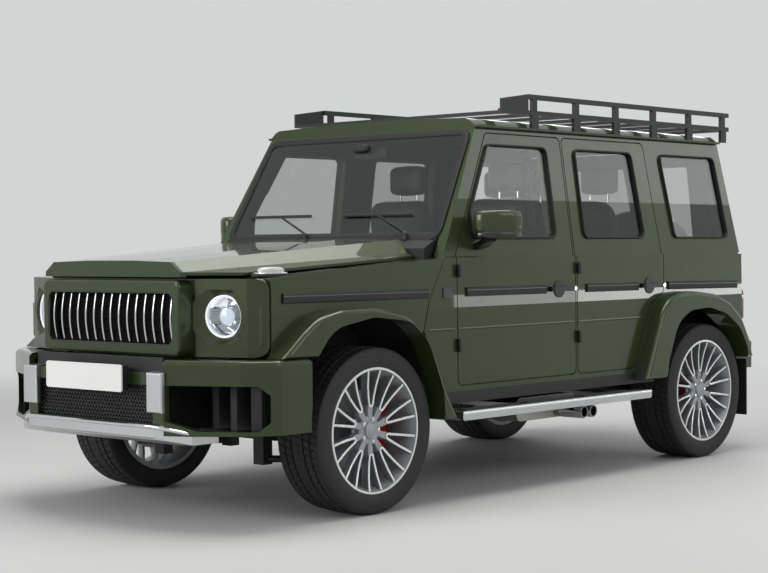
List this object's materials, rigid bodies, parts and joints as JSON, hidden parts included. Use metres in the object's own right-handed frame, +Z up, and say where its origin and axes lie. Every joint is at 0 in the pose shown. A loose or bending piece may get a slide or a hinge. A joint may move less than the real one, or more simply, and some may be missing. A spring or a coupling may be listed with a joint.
{
  "type": "off-road vehicle",
  "caption": "Boxy four-door off-road estate car with roof rack, spare wheel, hinged doors, bonnet and tailgate, coupled steering and rolling wheels.",
  "frame": {"origin": "on the ground, halfway along the car and on its centre plane", "axes": "+X forwards, +Y to the driver's left, +Z up"},
  "size_m": [4.694, 2.15, 2.0739],
  "materials": {
    "paint": "clear-coated dark green",
    "glass": "clear",
    "tinted_glass": "dark tint",
    "carpet": "carpet over steel",
    "black_plastic": "grained",
    "frame_steel": "satin black",
    "bright_trim": "polished",
    "lamp_lens": "clear lens",
    "signal_lens": "coloured lens",
    "silver_paint": "satin",
    "gloss_black": "gloss black",
    "aluminium": "brushed",
    "steel": "stainless",
    "cast_alloy": "as cast",
    "cast_iron": "as cast",
    "leather": "black, fine grain",
    "rim_silver": "clear-coated silver",
    "tyre": "black rubber",
    "plate_white": "blank white"
  },
  "bodies": {
    "body": {"body_shell": "paint", "fixed_glass": "glass", "roof_panel": "paint", "floor_pan": "carpet", "cowl_panel": "black_plastic", "frame_rails": "frame_steel", "front_wings": "paint", "arch_liners": "black_plastic", "nose_panel": "paint", "grille": "bright_trim", "headlamps": "lamp_lens", "signal_lamps": "signal_lens", "front_bumper": "paint", "bumper_grille": "black_plastic", "skid_plate": "silver_paint", "rear_bumper": "paint", "running_boards": "aluminium", "exhaust": "steel", "engine_block": "cast_alloy", "driveline": "frame_steel", "fuel_tank": "black_plastic", "front_suspension": "frame_steel", "rear_axle": "cast_iron", "seats": "leather", "dashboard": "black_plastic", "wipers": "gloss_black", "roof_rack": "gloss_black", "number_plates": "plate_white"},
    "door_front_left": {"door_front_left": "paint", "glass_front_left": "glass", "mirror_left": "paint"},
    "door_rear_left": {"door_rear_left": "paint", "glass_rear_left": "tinted_glass"},
    "knuckle_left": {"knuckle_left": "cast_iron"},
    "wheel_front_left": {"rim_front_left": "rim_silver", "tyre_front_left": "tyre"},
    "wheel_rear_left": {"rim_rear_left": "rim_silver", "tyre_rear_left": "tyre"},
    "door_front_right": {"door_front_right": "paint", "glass_front_right": "glass", "mirror_right": "paint"},
    "door_rear_right": {"door_rear_right": "paint", "glass_rear_right": "tinted_glass"},
    "knuckle_right": {"knuckle_right": "cast_iron"},
    "wheel_front_right": {"rim_front_right": "rim_silver", "tyre_front_right": "tyre"},
    "wheel_rear_right": {"rim_rear_right": "rim_silver", "tyre_rear_right": "tyre"},
    "tailgate": {"tailgate": "paint", "tailgate_glass": "tinted_glass", "spare_wheel": "gloss_black"},
    "bonnet": {"bonnet": "paint"},
    "steering_rack": {"steering_rack": "steel"},
    "steering_wheel": {"steering_wheel": "leather"}
  },
  "joints": [
    {"name": "door_front_left_hinge", "type": "hinge", "parent": "body", "child": "door_front_left", "pos_m": [0.678, 0.879, 0.957], "axis": [0, 0, -1], "range_deg": [0, 65]},
    {"name": "door_front_right_hinge", "type": "hinge", "parent": "body", "child": "door_front_right", "pos_m": [0.678, -0.879, 0.957], "axis": [0, 0, 1], "range_deg": [0, 65]},
    {"name": "door_rear_left_hinge", "type": "hinge", "parent": "body", "child": "door_rear_left", "pos_m": [-0.338, 0.879, 0.957], "axis": [0, 0, -1], "range_deg": [0, 65]},
    {"name": "door_rear_right_hinge", "type": "hinge", "parent": "body", "child": "door_rear_right", "pos_m": [-0.338, -0.879, 0.957], "axis": [0, 0, 1], "range_deg": [0, 65]},
    {"name": "bonnet_hinge", "type": "hinge", "parent": "body", "child": "bonnet", "pos_m": [0.806, 0, 1.285], "axis": [0, -1, 0], "range_deg": [0, 45]},
    {"name": "tailgate_hinge", "type": "hinge", "parent": "body", "child": "tailgate", "pos_m": [-2.068, -0.694, 0.957], "axis": [0, 0, 1], "range_deg": [0, 90]},
    {"name": "steer_left", "type": "hinge", "parent": "body", "child": "knuckle_left", "pos_m": [1.323, 0.67, 0.3975], "axis": [0, 0, 1], "range_deg": [-30, 30]},
    {"name": "steer_right", "type": "hinge", "parent": "body", "child": "knuckle_right", "pos_m": [1.323, -0.67, 0.3975], "axis": [0, 0, 1], "range_deg": [-30, 30]},
    {"name": "rack_slide", "type": "slide", "parent": "body", "child": "steering_rack", "axis": [0, 1, 0], "range_m": [-0.086, 0.086]},
    {"name": "helm_turn", "type": "hinge", "parent": "body", "child": "steering_wheel", "pos_m": [0.278, 0.375, 1.145], "axis": [-0.8988, 0, 0.4384], "range_deg": [-425, 425]},
    {"name": "wheel_front_left_spin", "type": "hinge", "parent": "knuckle_left", "child": "wheel_front_left", "pos_m": [1.323, 0.765, 0.3975], "axis": [0, 1, 0], "continuous": true},
    {"name": "wheel_front_right_spin", "type": "hinge", "parent": "knuckle_right", "child": "wheel_front_right", "pos_m": [1.323, -0.765, 0.3975], "axis": [0, 1, 0], "continuous": true},
    {"name": "wheel_rear_left_spin", "type": "hinge", "parent": "body", "child": "wheel_rear_left", "pos_m": [-1.567, 0.765, 0.3975], "axis": [0, 1, 0], "continuous": true},
    {"name": "wheel_rear_right_spin", "type": "hinge", "parent": "body", "child": "wheel_rear_right", "pos_m": [-1.567, -0.765, 0.3975], "axis": [0, 1, 0], "continuous": true}
  ],
  "couplings": [
    {"joint": "steer_right", "follows": "steer_left", "ratio": 1},
    {"joint": "rack_slide", "follows": "steer_left", "m_per_rad": 0.162},
    {"joint": "helm_turn", "follows": "steer_left", "ratio": 14}
  ]
}
